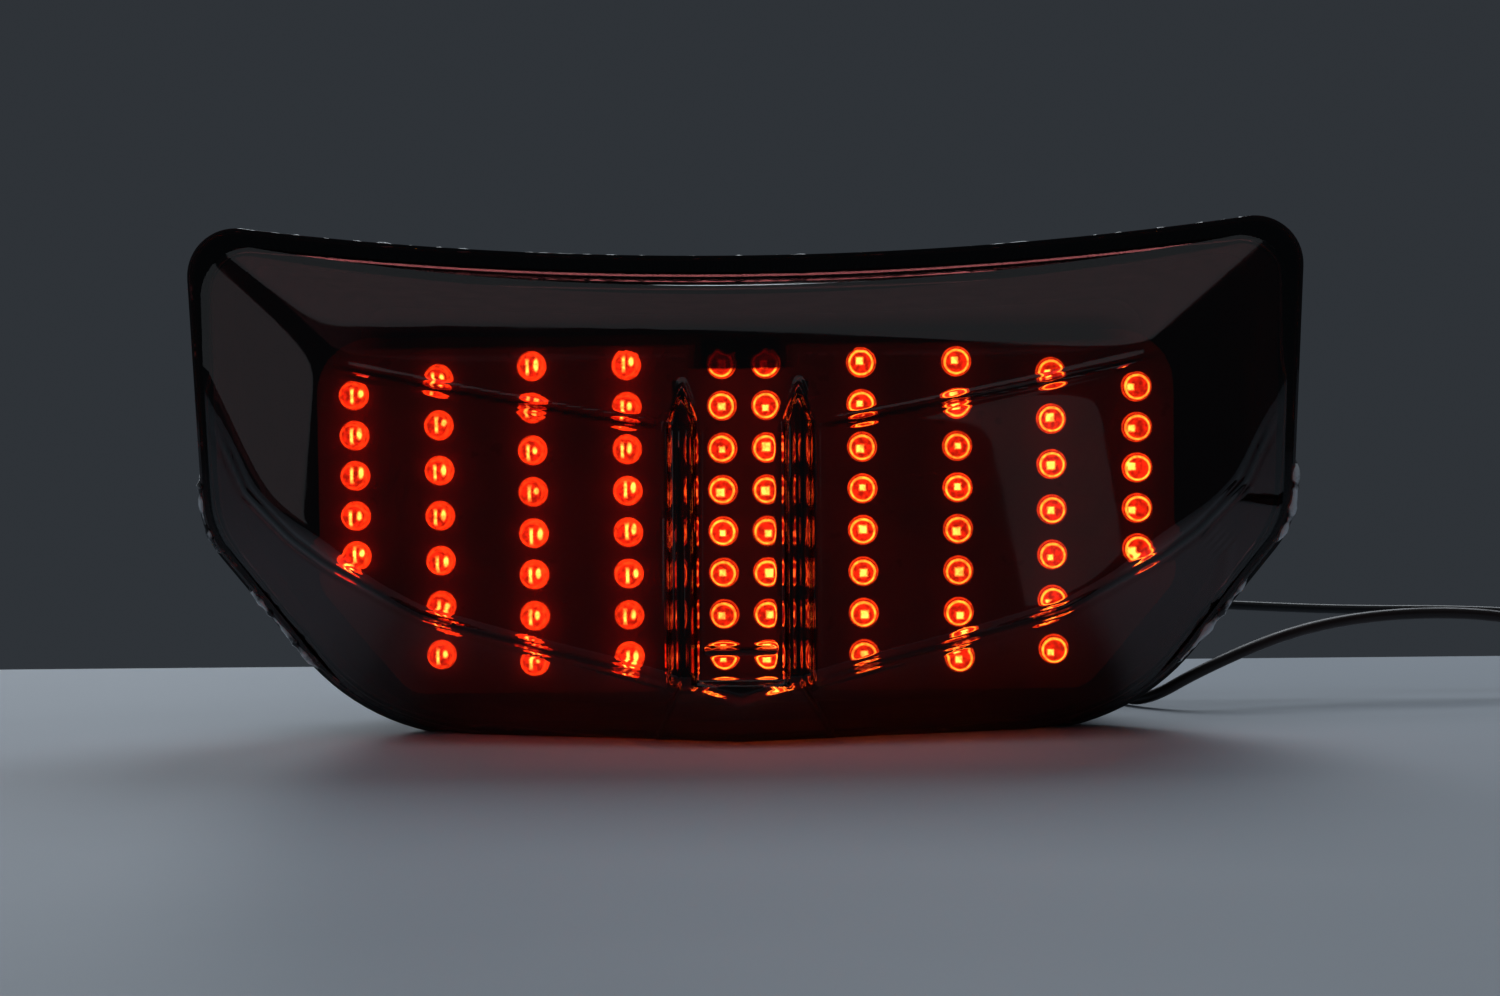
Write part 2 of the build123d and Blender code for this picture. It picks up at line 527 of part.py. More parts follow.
def make_boot():
    """Rubber boot over the rear of the plug, where both leads go in."""
    width, _, height = PLUG_SIZE
    y0, y1 = PLUG_REAR, PLUG_REAR + BOOT_LENGTH
    near = Rectangle(width - 1.6, height - 1.2)
    far = Rectangle(width - 6.4, height - 3.0)
    at = [Plane.XZ.offset(-y) * Pos(PLUG_X, BOOT_Z) for y in (y0, y1)]
    shape = loft([at[0] * near, at[1] * far], ruled=True)
    return fillet([e for e in shape.edges() if abs((e @ 0).Y - (e @ 1).Y) > 1], 1.4)


def make_terminals():
    """Receptacle contacts in the plug."""
    y0 = PLUG_REAR - PLUG_SIZE[1]
    made = []
    for i in range(WAYS):
        x = PLUG_X + (i - 1) * WAY_PITCH
        made.append(rod(x, PLUG_SIZE[2] / 2, WAY_R, y0 + 1, y0 + 9)
                    - rod(x, PLUG_SIZE[2] / 2, 0.75, y0, y0 + 7))
    return made


def main():
    os.makedirs("parts", exist_ok=True)
    write("lens", make_lens())
    write("rear_housing", make_tub())
    write("bond_line", make_bond())
    write("led_bezel", make_bezel())
    write("led_board", make_board())
    places = led_places()
    body, pin = led_body(), leg()
    for column in sorted({p[0] for p in places}):
        leds = [Pos(x, BOARD_Y - LED_STANDOFF, z) * body for c, x, z in places if c == column]
        write(f"led_column_{column:02d}", *leds)
    write("led_legs", *[Pos(x, 0, z + s * LEG_PITCH / 2) * pin for _, x, z in places for s in (-1, 1)])
    write("board_screws", *[make_screw(x, z) for x, z in BOARD_SCREWS])
    write("ballast_resistors", *make_resistors())
    write("polarity_diodes", *make_diodes())
    write("filter_capacitor", make_capacitor())
    write("tail_regulator", make_regulator(-13.0))
    write("stop_regulator", make_regulator(13.0))
    write("inner_wires", *make_inner_wires())
    write("lead_grommet", make_gland())
    write("rear_peg", make_peg())
    for side, name in ((-1, "left"), (1, "right")):
        write(f"mount_ear_{name}", make_ear(side * EAR_X))
        write(f"vent_spout_{name}", make_spout(side * VENT_X))
        write(f"mount_grommet_{name}", make_ear_grommet(side * EAR_X))
        write(f"mount_collar_{name}", make_collar(side * EAR_X))
        write(f"vent_cap_{name}", make_vent_cap(side * VENT_X))
    write("earth_lead", tube(EARTH_ROUTE, EARTH_D, "earth lead"))
    write("feed_lead", tube(FEED_ROUTE, FEED_D, "feed lead"))
    write("earth_coil", coil_ring(EARTH_COIL_R, EARTH_D))
    write("feed_coil", coil_ring(FEED_COIL_R, FEED_D))
    write("earth_lead_end", clear_of_coil(tube(EARTH_TAIL, EARTH_D, "earth lead end")))
    write("feed_lead_end", clear_of_coil(tube(FEED_TAIL, FEED_D, "feed lead end")))
    write("coil_tie", make_tie())
    write("plug_boot", make_boot())
    write("plug_housing", make_plug())
    write("plug_latch", make_latch())
    write("plug_terminals", *make_terminals())


main()
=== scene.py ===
"""Looks of the LED tail light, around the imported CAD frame. Lengths are written in millimetres."""

import math
import random

import bmesh
import bpy
from mathutils import Matrix, Vector, noise


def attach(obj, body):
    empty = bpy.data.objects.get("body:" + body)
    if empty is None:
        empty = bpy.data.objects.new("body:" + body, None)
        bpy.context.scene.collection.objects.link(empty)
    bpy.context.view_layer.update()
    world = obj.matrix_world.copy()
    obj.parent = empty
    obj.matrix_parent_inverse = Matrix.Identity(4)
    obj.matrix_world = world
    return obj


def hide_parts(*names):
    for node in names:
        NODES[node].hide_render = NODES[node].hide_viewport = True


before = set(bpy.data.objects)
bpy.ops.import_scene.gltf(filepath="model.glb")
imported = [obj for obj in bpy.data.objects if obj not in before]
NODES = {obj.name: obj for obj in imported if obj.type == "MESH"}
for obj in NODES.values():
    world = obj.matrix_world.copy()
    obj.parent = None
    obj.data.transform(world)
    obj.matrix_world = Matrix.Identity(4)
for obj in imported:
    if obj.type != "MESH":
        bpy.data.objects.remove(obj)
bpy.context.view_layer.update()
MM = 0.001
SHIFT_Y = -12.015  # from the lens joint's own y to the row's y
random.seed(7)


# ---- Camera, light and floor ---------------------------------------------------------------------
def aim(obj, azimuth, elevation, distance, target):
    """Puts obj at a distance in metres from its target and turns it to face it. Angles in degrees."""
    a, e = math.radians(azimuth), math.radians(elevation)
    back = Vector((math.sin(a) * math.cos(e), -math.cos(a) * math.cos(e), math.sin(e)))
    obj.location = Vector(target) + back * distance
    obj.rotation_mode = "QUATERNION"
    obj.rotation_quaternion = back.to_track_quat("Z", "Y")


def roll(obj, angle):
    """Turns obj about the line it looks along."""
    turn = Matrix.Rotation(angle, 3, "Z").to_quaternion()
    obj.rotation_quaternion = obj.rotation_quaternion @ turn


FOCAL_LENGTH, SENSOR_WIDTH = 100.0, 36.0
CAMERA_AZIMUTH, CAMERA_ELEVATION, CAMERA_ROLL = 2.0, 2.75, -0.7
CAMERA_DISTANCE, CAMERA_TARGET = 0.7795, (0.00075, -0.012, 0.0434)


def make_camera():
    data = bpy.data.cameras.new("camera")
    data.lens, data.sensor_width = FOCAL_LENGTH, SENSOR_WIDTH
    data.clip_start, data.clip_end = 0.01, 50.0
    cam = bpy.data.objects.new("camera", data)
    bpy.context.scene.collection.objects.link(cam)
    aim(cam, CAMERA_AZIMUTH, CAMERA_ELEVATION, CAMERA_DISTANCE, CAMERA_TARGET)
    roll(cam, math.radians(CAMERA_ROLL))
    bpy.context.scene.camera = cam


def area_light(name, azimuth, elevation, distance, size, watts, colour, target=(0, -0.03, 0.05)):
    """Rectangular lamp that the camera doesn't see. Distance, size and target are in metres."""
    data = bpy.data.lights.new(name, "AREA")
    data.shape = "RECTANGLE"
    data.size, data.size_y = size
    data.energy = watts
    data.color = colour
    lamp = bpy.data.objects.new(name, data)
    bpy.context.scene.collection.objects.link(lamp)
    aim(lamp, azimuth, elevation, distance, target)
    lamp.visible_camera = False
    return lamp


def make_studio():
    scene = bpy.context.scene
    scene.view_settings.view_transform = "Standard"
    world = bpy.data.worlds.new("studio")
    world.use_nodes = True
    back = world.node_tree.nodes["Background"]
    back.inputs["Color"].default_value = (0.40, 0.47, 0.56, 1)
    back.inputs["Strength"].default_value = 0.07
    scene.world = world
    cool = (0.86, 0.93, 1.0)
    area_light("top_soft", -14, 69, 1.3, (1.3, 0.5), 0.65, cool)
    window = area_light("right_window", 17, 21, 1.8, (0.2, 0.55), 0.05, cool)
    roll(window, 0.5)
    area_light("left_fill", -70, 24, 1.4, (0.7, 0.7), 0.45, cool)
    area_light("rear_fill", 165, 40, 1.5, (1.0, 0.7), 7.0, cool)
    area_light("rear_low", 205, 12, 1.5, (0.9, 0.5), 4.0, cool)
    wash = area_light("floor_wash", 0, 70, 1.5, (1.4, 1.0), 1.5, cool)
    wash.visible_glossy = False
    # The LEDs' glow on the floor in front of the light
    spill = area_light("red_spill", 0, 80, 0.03, (0.11, 0.02), 0.0030, (1.0, 0.03, 0.015),
                       (0.01, -0.056, 0.003))
    spill.data.shape = "ELLIPSE"
    spill.visible_glossy = False
    spill.visible_transmission = False


def make_floor():
    mesh = bpy.data.meshes.new("floor")
    side, front, back = 1.2, -1.4, 0.13  # metres
    corners = [(-side, front, 0), (side, front, 0), (side, back, 0), (-side, back, 0)]
    mesh.from_pydata(corners, [], [(0, 1, 2, 3)])
    floor = bpy.data.objects.new("floor", mesh)
    bpy.context.scene.collection.objects.link(floor)
    mat = material("floor_paper", (0.42, 0.47, 0.53), 0.62)
    vary(mat, "floor_tone", 6.0, "Base Color", (0.40, 0.45, 0.51), (0.44, 0.49, 0.55))
    bump(mat, 900.0, 0.04, 0.0003)
    mesh.materials.append(mat)


# ---- Materials -----------------------------------------------------------------------------------
def shader_of(mat):
    return mat.node_tree.nodes["Principled BSDF"]


def material(name, colour, rough, **sockets):
    """New material. A keyword such as Coat_Weight sets the shader's socket of that name."""
    mat = bpy.data.materials.new(name)
    mat.use_nodes = True
    shader = shader_of(mat)
    shader.inputs["Base Color"].default_value = (*colour[:3], 1)
    shader.inputs["Roughness"].default_value = rough
    for key, value in sockets.items():
        shader.inputs[key.replace("_", " ")].default_value = value
    return mat


def noise_node(mat, scale, detail=4.0, stretch=None):
    tree = mat.node_tree
    coords = tree.nodes.new("ShaderNodeTexCoord")
    tex = tree.nodes.new("ShaderNodeTexNoise")
    tex.inputs["Scale"].default_value = scale
    tex.inputs["Detail"].default_value = detail
    source = coords.outputs["Object"]
    if stretch:
        mapping = tree.nodes.new("ShaderNodeMapping")
        mapping.inputs["Scale"].default_value = stretch
        tree.links.new(source, mapping.inputs["Vector"])
        source = mapping.outputs["Vector"]
    tree.links.new(source, tex.inputs["Vector"])
    return tex


def attribute(mat, name):
    """Value that store() put on the mesh under this name."""
    node = mat.node_tree.nodes.new("ShaderNodeAttribute")
    node.attribute_name = name
    return node.outputs["Fac"]


def ramp(mat, source, low, high, start, end):
    node = mat.node_tree.nodes.new("ShaderNodeValToRGB")
    node.color_ramp.elements[0].position = start
    node.color_ramp.elements[1].position = end
    node.color_ramp.elements[0].color = low
    node.color_ramp.elements[1].color = high
    mat.node_tree.links.new(source, node.inputs["Fac"])
    return node


def vary(mat, label, scale, socket, low, high, detail=4.0, stretch=None, start=0.3, end=0.7):
    """Varies a colour or a number of the shader over the surface with noise."""
    tex = noise_node(mat, scale, detail, stretch)
    tex.label = label
    if isinstance(low, tuple):
        low, high = (*low, 1), (*high, 1)
    else:
        low, high = (low, low, low, 1), (high, high, high, 1)
    node = ramp(mat, tex.outputs["Fac"], low, high, start, end)
    mat.node_tree.links.new(node.outputs["Color"], shader_of(mat).inputs[socket])


def bump(mat, scale, strength, distance, detail=3.0):
    tree = mat.node_tree
    tex = noise_node(mat, scale, detail)
    node = tree.nodes.new("ShaderNodeBump")
    node.inputs["Strength"].default_value = strength
    node.inputs["Distance"].default_value = distance
    tree.links.new(tex.outputs["Fac"], node.inputs["Height"])
    tree.links.new(node.outputs["Normal"], shader_of(mat).inputs["Normal"])


def plastic(name, dark, light, rough, grain=1400.0, depth=0.00006):
    """Moulded plastic or rubber: fine grain, and tone and gloss that vary a little."""
    mat = material(name, dark, rough)
    vary(mat, "tone", 60.0, "Base Color", dark, light)
    vary(mat, "gloss", 180.0, "Roughness", rough - 0.08, rough + 0.1)
    bump(mat, grain, 0.35, depth)
    return mat


def metal(name, dark, light, rough):
    mat = material(name, dark, rough, Metallic=1.0)
    vary(mat, "tone", 300.0, "Base Color", dark, light)
    vary(mat, "brushing", 900.0, "Roughness", rough - 0.1, rough + 0.12, 3.0, (1, 1, 8))
    bump(mat, 1800.0, 0.15, 0.00003)
    return mat


LED_POWER = 15.0  # emission strength at level 1
DIE_GAIN = 1.1  # how much brighter than its surroundings the die is
DIE_COLOUR = (1.0, 0.95, 0.12, 1)
# Along led_r: disc, bright ring from 0.82 to 0.92, and dim edge
LED_TONES = ((0.55, (1.0, 0.07, 0.012, 1)), (0.74, (1.0, 0.08, 0.010, 1)), (0.82, (1.0, 0.80, 0.06, 1)),
             (0.92, (1.0, 0.66, 0.05, 1)), (0.97, (0.9, 0.03, 0.004, 1)))
LED_LEVELS = ((0.72, 0.22), (0.82, 0.80), (0.92, 0.72), (0.97, 0.2))


def led_material():
    """Lit red epoxy: a glowing disc, a bright rim and the die. The pattern is stored on the mesh."""
    mat = material("led_lit", (0.5, 0.01, 0.004), 0.12, Coat_Weight=0.5)
    tree = mat.node_tree
    shader = shader_of(mat)

    def math_node(kind, a, b, clamp=False):
        node = tree.nodes.new("ShaderNodeMath")
        node.operation = kind
        node.use_clamp = clamp
        for slot, value in zip(node.inputs, (a, b)):
            if isinstance(value, (int, float)):
                slot.default_value = value
            else:
                tree.links.new(value, slot)
        return node.outputs[0]

    radial = attribute(mat, "led_r")
    tone = ramp(mat, radial, (1.0, 0.075, 0.012, 1), (0.55, 0.0, 0.0, 1), 0.0, 1.0)
    for at, colour in LED_TONES:
        tone.color_ramp.elements.new(at).color = colour
    ring = ramp(mat, radial, (0.22, 0.22, 0.22, 1), (0.10, 0.10, 0.10, 1), 0.0, 1.0)
    for at, value in LED_LEVELS:
        ring.color_ramp.elements.new(at).color = (value, value, value, 1)
    mottle = noise_node(mat, 900.0, 2.0)
    patchy = ramp(mat, mottle.outputs["Fac"], (0.38, 0.38, 0.38, 1), (1, 1, 1, 1), 0.36, 0.62)
    die = attribute(mat, "led_die")
    mix = tree.nodes.new("ShaderNodeMix")
    mix.data_type = "RGBA"
    factor, first, second, mixed = mix.inputs[0], mix.inputs[6], mix.inputs[7], mix.outputs[2]
    second.default_value = DIE_COLOUR
    tree.links.new(math_node("MULTIPLY", die, 1.0, True), factor)
    tree.links.new(tone.outputs["Color"], first)
    tree.links.new(mixed, shader.inputs["Emission Color"])
    level = math_node("MULTIPLY", attribute(mat, "led_level"), patchy.outputs["Color"])
    zone = math_node("ADD", ring.outputs["Color"], math_node("MULTIPLY", die, DIE_GAIN))
    tree.links.new(math_node("MULTIPLY", math_node("MULTIPLY", level, zone), LED_POWER),
                   shader.inputs["Emission Strength"])
    return mat


def paint(piece, *materials):
    piece.data.materials.clear()
    for mat in materials:
        piece.data.materials.append(mat)


# ---- Mesh helpers --------------------------------------------------------------------------------
def row_point(x, y, z):
    """Point of the lens joint's frame, in metres of the row's frame."""
    return x * MM, (y + SHIFT_Y) * MM, z * MM


def mesh_piece(name, points, faces, sharp=40.0):
    """Piece from points in millimetres of the lens joint's frame."""
    mesh = bpy.data.meshes.new(name)
    mesh.from_pydata([row_point(*point) for point in points], [], faces)
    mesh.update()
    bm = bmesh.new()
    bm.from_mesh(mesh)
    bmesh.ops.recalc_face_normals(bm, faces=bm.faces)
    bm.to_mesh(mesh)
    bm.free()
    mesh.shade_smooth()
    mesh.set_sharp_from_angle(angle=math.radians(sharp))
    piece = bpy.data.objects.new(name, mesh)
    bpy.context.scene.collection.objects.link(piece)
    return piece


def store(piece, name, values):
    """Puts one value on each point, for attribute() to read in the material."""
    layer = piece.data.attributes.new(name, "FLOAT", "POINT")
    layer.data.foreach_set("value", values)


def fillet_path(points, radii, step=1.0):
    """Points along a line with its inner corners rounded by arcs."""
    made = [points[0]]
    for before, corner, after, radius in zip(points, points[1:], points[2:], radii):
        a = Vector(before) - Vector(corner)
        b = Vector(after) - Vector(corner)
        half = a.angle(b) / 2
        cut = radius / math.tan(half)
        start = Vector(corner) + a.normalized() * cut
        end = Vector(corner) + b.normalized() * cut
        inward = (a.normalized() + b.normalized()).normalized()
        centre = Vector(corner) + inward * (radius / math.sin(half))
        count = max(6, int(radius * (math.pi - 2 * half) / step))
        sweep = (start - centre).angle_signed(end - centre)
        for i in range(count + 1):
            arm = start - centre
            arm.rotate(Matrix.Rotation(-sweep * i / count, 2))
            made.append(tuple(centre + arm))
    made.append(points[-1])
    return made


# ---- Outlines of the lens, right half, from the middle of the top round to the middle of the foot --
# Each has the height of the crown's middle, then the sharp corners at shoulder, waist and foot as (x, z)
RADII = (9.0, 18.0, 41.0)
RIM = (88.7, (104.4, 96.3), (101.7, 38.1), (70.6, 0.0))
LENS_BASE = (86.4, (101.8, 93.4), (99.8, 38.4), (69.8, 0.0))
LENS_FAR = (75.6, (98.6, 82.6), (97.4, 39.3), (68.6, 0.8))
FAR_AT = 45.0  # how far LENS_FAR is in front of LENS_BASE
CROWN_STEPS = 40
HALVINGS = 26


def half_outline(spec, inset=0.0):
    """Points of one outline: the crown is an arc, and the corners are rounded to RADII."""
    crown, shoulder, waist, foot = spec
    sag = shoulder[1] - crown
    radius = (shoulder[0] ** 2 + sag ** 2) / (2 * sag)
    top = []
    for i in range(CROWN_STEPS):
        x = shoulder[0] * i / CROWN_STEPS
        top.append((x, crown + radius - math.sqrt(radius ** 2 - x ** 2)))
    line = fillet_path([top[-6], shoulder, waist, foot, (0.0, foot[1])], RADII)[1:]
    path = [p for p in top if p[0] < line[0][0] - 0.1] + line
    if inset:
        path = inset_path(path, inset)
    return path


def inset_path(path, inset):
    """The path moved inwards, with both ends kept on the middle plane."""
    made = []
    for i, (x, z) in enumerate(path):
        a, b = path[max(i - 1, 0)], path[min(i + 1, len(path) - 1)]
        t = (Vector(b) - Vector(a)).normalized()
        made.append((max(x + t[1] * inset, 0.0), z - t[0] * inset))
    made[0] = (0.0, made[0][1])
    made[-1] = (0.0, made[-1][1])
    return made


def at_share(path, start, end, share):
    """Point at a share of the way between two lengths along a path."""
    want = start + (end - start) * share
    done = 0.0
    for a, b in zip(path, path[1:]):
        step = math.dist(a, b)
        if done + step >= want:
            k = (want - done) / step if step else 0
            return a[0] + (b[0] - a[0]) * k, a[1] + (b[1] - a[1]) * k
        done += step
    return path[-1]


def landmarks(path):
    """Length along the path at the shoulder's and waist's middle, and the whole length."""
    lengths = [0.0]
    for a, b in zip(path, path[1:]):
        lengths.append(lengths[-1] + math.dist(a, b))
    shoulder = max(range(len(path)), key=lambda i: path[i][0] + path[i][1])
    waist = max(range(len(path)), key=lambda i: path[i][0] - 0.55 * path[i][1])
    return lengths[shoulder], lengths[waist], lengths[-1]


def x_share(path, start, end, share):
    """Point of a stretch of the path whose x is a share of the x at the stretch's outer end."""
    outer = at_share(path, 0.0, end, 1.0)
    low, high = 0.0, 1.0
    for _ in range(HALVINGS):
        middle = (low + high) / 2
        if at_share(path, start, end, middle)[0] < outer[0] * share:
            low = middle
        else:
            high = middle
    return at_share(path, start, end, low)


def border(spec, columns, rows, inset=0.0):
    """Top, bottom and side points of the right half, for the grid's columns and rows."""
    path = half_outline(spec, inset)
    shoulder, waist, whole = landmarks(path)
    top = [x_share(path, 0.0, shoulder, u) for u in columns]
    bottom = [x_share(path, whole, waist, u) for u in columns]
    side = [at_share(path, waist, shoulder, v) for v in rows]
    top[-1], bottom[-1] = side[-1], side[0]
    return top, bottom, side


# ---- Form of the lens ----------------------------------------------------------------------------
def soft_min(values, k):
    """Least of the values, with the change from one to the next rounded over about k."""
    low = min(values)
    return low - k * math.log(sum(math.exp(-(v - low) / k) for v in values))


def near_line(x, z, line):
    """Signed distance to a line of points, and how far along it the nearest point lies, 0 to 1."""
    best = None
    for i, (a, b) in enumerate(zip(line, line[1:])):
        dx, dz = b[0] - a[0], b[1] - a[1]
        span = dx * dx + dz * dz
        k = min(max(((x - a[0]) * dx + (z - a[1]) * dz) / span, 0), 1)
        ex, ez = x - a[0] - dx * k, z - a[1] - dz * k
        gap = math.hypot(ex, ez)
        if best is None or gap < abs(best[0]):
            best = (math.copysign(gap, dx * ez - dz * ex), (i + k) / (len(line) - 1))
    return best


UPPER_LINE = ((75.5, 69.3), (52.0, 64.4), (30.0, 60.2), (14.5, 57.6))
LOWER_LINE = ((98.0, 58.4), (92.0, 46.2), (83.0, 37.5), (76.4, 33.0), (58.7, 24.2), (40.0, 18.9),
              (12.4, 11.9))
TRAY_LINE = ((84.5, 37.5), (89.0, 33.5), (88.0, 24.5))


def double_line(x, z, line, apart, width, height):
    """Height of two raised strips beside a line of points, which fade out at its ends."""
    gap, along = near_line(x, z, line)
    if abs(gap) > apart + 3 * width:
        return 0.0
    fade = min(1, 12 * min(along, 1 - along) + 0.15)
    two = math.exp(-((gap - apart) / width) ** 2) + math.exp(-((gap + apart) / width) ** 2)
    return height * fade * two


def step(value, low, high):
    """0 below low, 1 above high, and smooth between them."""
    k = min(max((value - low) / (high - low), 0), 1)
    return k * k * (3 - 2 * k)


# Bowed facets: (depth at a height, gain in depth for each mm below it, that height, sideways bow)
BROW, UPPER, MAIN = (20.1, 0.45, 72.5, 1640), (14.0, 0.60, 82.7, 1540), (26.6, 0.176, 58.0, 866)
# Flat facets: (depth at the middle of the foot, gain in depth upwards, loss in depth sideways)
SIDE = (63.3, -0.19, 0.43)
UNDER = ((25.2, 1.10, 0.381), (65.3, 0.74, 0.907), (100.9, 0.10, 1.0))
UNDER_ROUND, EDGE_ROUND = 1.6, 0.45


def bowed(a, z, spec):
    depth, slope, at, bow = spec
    return depth + slope * (at - z) - a * a / bow


def flat(a, z, spec):
    depth, up, out = spec
    return depth + up * z - out * a


def broad_form(x, z):
    """How far the plain facets stand in front of the joint."""
    a = abs(x)
    facets = [bowed(a, z, spec) for spec in (BROW, UPPER, MAIN)]
    under = soft_min([flat(a, z, spec) for spec in UNDER], UNDER_ROUND)
    return soft_min(facets + [flat(a, z, SIDE), under], EDGE_ROUND)


RIDGE_X, RIDGE_RISE, RIDGE_HALF = 10.6, 2.3, 2.8
RIDGE_SHOULDER, RIDGE_TIP = 58.5, 66.0
RIDGE_EDGE = 1.3  # width of the slope at a ridge's side
APRON_HALF, APRON_LOSS, APRON_TOP, APRON_RISE = 17.0, 6.5, 13.5, 1.2
BEAD_GAP, BEAD_WIDTH, BEAD_HEIGHT = 0.25, 0.42, 0.34  # raised line along each side of a ridge
GROOVE_PITCH, GROOVE_DEPTH = 1.05, 0.11  # grooves along the top of a ridge
BAR_Z, BAR_WIDTH, BAR_HEIGHT = 17.8, 0.6, 0.35  # level line between the ridges' feet
BETWEEN = 7.0  # half width of the space between the ridges


def ridge_half(z):
    """Half width of a ridge, which comes to a point at its top."""
    return RIDGE_HALF * min(max((RIDGE_TIP - z) / (RIDGE_TIP - RIDGE_SHOULDER), 0), 1)


def ridge_form(x, z):
    """Two upright ridges with pointed heads, and the apron between their feet."""
    a = abs(x)
    half = ridge_half(z)
    ridge = RIDGE_RISE * (1 - step(abs(a - RIDGE_X), half - RIDGE_EDGE, half)) * step(z, 10.5, 13.0)
    apron_half = APRON_HALF - APRON_LOSS * z / APRON_TOP
    apron = APRON_RISE * (1 - step(a, apron_half - 0.7, apron_half)) * (1 - step(z, 11.2, 12.6))
    return ridge * min(half / RIDGE_EDGE, 1) + apron


def fine_form(x, z):
    """Raised lines and grooves on the facets."""
    a = abs(x)
    made = double_line(a, z, UPPER_LINE, 0.75, 0.42, 0.26)
    made += double_line(a, z, LOWER_LINE, 0.95, 0.50, -0.34)
    if x > 0:
        made += double_line(a, z, TRAY_LINE, 0.5, 0.5, 0.25)
    off = abs(a - RIDGE_X)
    if off < 4.5 and z < RIDGE_TIP + 1:
        upright = step(z, 12.0, 14.0) * (1 - step(z, RIDGE_TIP - 0.5, RIDGE_TIP + 0.5))
        bead = math.exp(-((off - ridge_half(z) - BEAD_GAP) / BEAD_WIDTH) ** 2)
        waves = math.cos(2 * math.pi * off / GROOVE_PITCH)
        grooves = waves * (1 - step(off, 1.4, 1.9)) * (1 - step(z, 57.0, 59.0))
        made += upright * (BEAD_HEIGHT * bead + GROOVE_DEPTH * grooves)
    if a < BETWEEN:
        made += BAR_HEIGHT * (1 - step(a, 5.8, BETWEEN)) * math.exp(-((z - BAR_Z) / BAR_WIDTH) ** 2)
    return made


def line_share(x, z, line, core, edge):
    """1 on a line of points, falling to 0 at its edge."""
    gap, along = near_line(x, z, line)
    ends = min(1, 14 * min(along, 1 - along) + 0.2)
    return ends * (1 - step(abs(gap), core, edge))


def ridge_painted_shade(x, z):
    """Painted shade on the ridges: uneven darkening of each, with a nearly black line up its middle."""
    a, half = abs(x), ridge_half(z)
    if half <= 0:
        return 0.0
    grain = 0.25 * noise.noise(Vector((x * 1.6, 0, z * 0.28)))
    upright = step(z, 10.5, 12.5)
    whole = upright * (0.72 + grain) * (1 - step(abs(a - RIDGE_X), half, half + 0.6))
    line_x = 10.0 + 1.7 * (z - 12.0) / 54.0
    return max(whole, upright * 0.97 * (1 - step(abs(a - line_x), 0.45, 0.8)))


def painted_lens_shade(x, z):
    """Painted shade on the lens, 0 to 1, where the smoked plastic looks dark from shade: darker along
    creases, on the ridges and over the window's top.
    """
    a = abs(x)
    lower = 0.9 * line_share(a, z, LOWER_LINE, 0.35, 0.8)
    upper = 0.75 * line_share(a, z, UPPER_LINE, 0.25, 0.65)
    # Painted shade: a dark line along the bar between the ridges' feet, dark bands over the middle and over
    # the window's top, and dark lines along the apron's slanted edges
    bar = 0.9 * (1 - step(abs(z - 17.6), 0.3, 0.7)) if a < BETWEEN else 0.0
    over_middle = step(z, 67.8, 68.1) * (1 - step(z, 73.0, 79.0)) * (1 - step(a, 6.6, 11.0))
    over_window = 0.8 * step(z, 71.9, 72.5) * (1 - step(z, 74.0, 79.0)) * (1 - step(a, 62.0, 76.0))
    flare_x = 16.4 - 5.9 * z / 12.0
    flare = 0.8 * (1 - step(abs(a - flare_x), 0.4, 0.9)) if z < 12.5 else 0.0
    return min(max(0.0, lower, upper, ridge_painted_shade(x, z), bar, over_middle, over_window, flare), 1.0)


THICKNESS = 2.5  # of the lens's front
FLUTE_DEPTH, FINE_PITCH, COARSE_PITCH, FINE_TO = 0.16, 1.1, 2.3, 13
INNER_RIDGE = 0.6  # share of the ridges' form that the inside follows


def outer_form(x, z):
    """How far the outside of the lens stands in front of the joint."""
    return broad_form(x, z) + ridge_form(x, z) + fine_form(x, z)


def inner_form(x, z):
    """The inside follows the outside, with short flutes over the top of the LED window."""
    a = abs(x)
    pitch = FINE_PITCH if a < FINE_TO else COARSE_PITCH
    band = step(z, 70.2, 70.9) * (1 - step(z, 72.2, 72.8)) * (1 - step(a, 26.0, 28.0))
    flutes = FLUTE_DEPTH * math.cos(2 * math.pi * x / pitch) * band
    return broad_form(x, z) + INNER_RIDGE * ridge_form(x, z) - THICKNESS + flutes


def spaced(count, crowded, width, gain):
    """Shares from 0 to 1 that lie closer together near the crowded places."""
    fine = 4000  # steps in which the density is added up
    total, sums = 0.0, [0.0]
    for i in range(fine):
        t = (i + 0.5) / fine
        total += 1 + sum(gain * math.exp(-((t - c) / width) ** 2) for c in crowded)
        sums.append(total)
    made, j = [], 0
    for i in range(count + 1):
        want = total * i / count
        while j < fine and sums[j + 1] < want:
            j += 1
        width_here = max(sums[min(j + 1, fine)] - sums[j], 1e-9)
        made.append(min((j + (want - sums[j]) / width_here) / fine, 1.0))
    made[0], made[-1] = 0.0, 1.0
    return made


COLUMNS = spaced(130, (0.115,), 0.04, 3.0)
ROWS = spaced(210, (0.0, 1.0), 0.03, 1.0)


def on_wall(near, far, form):
    """Where the lens wall, from near to far, meets the facets: (x, z)."""
    low, high = 0.0, FAR_AT
    for _ in range(HALVINGS):
        middle = (low + high) / 2
        k = middle / FAR_AT
        x, z = near[0] + (far[0] - near[0]) * k, near[1] + (far[1] - near[1]) * k
        if form(x, z) > middle:
            low = middle
        else:
            high = middle
    k = max(low, 0.4) / FAR_AT
    return near[0] + (far[0] - near[0]) * k, near[1] + (far[1] - near[1]) * k


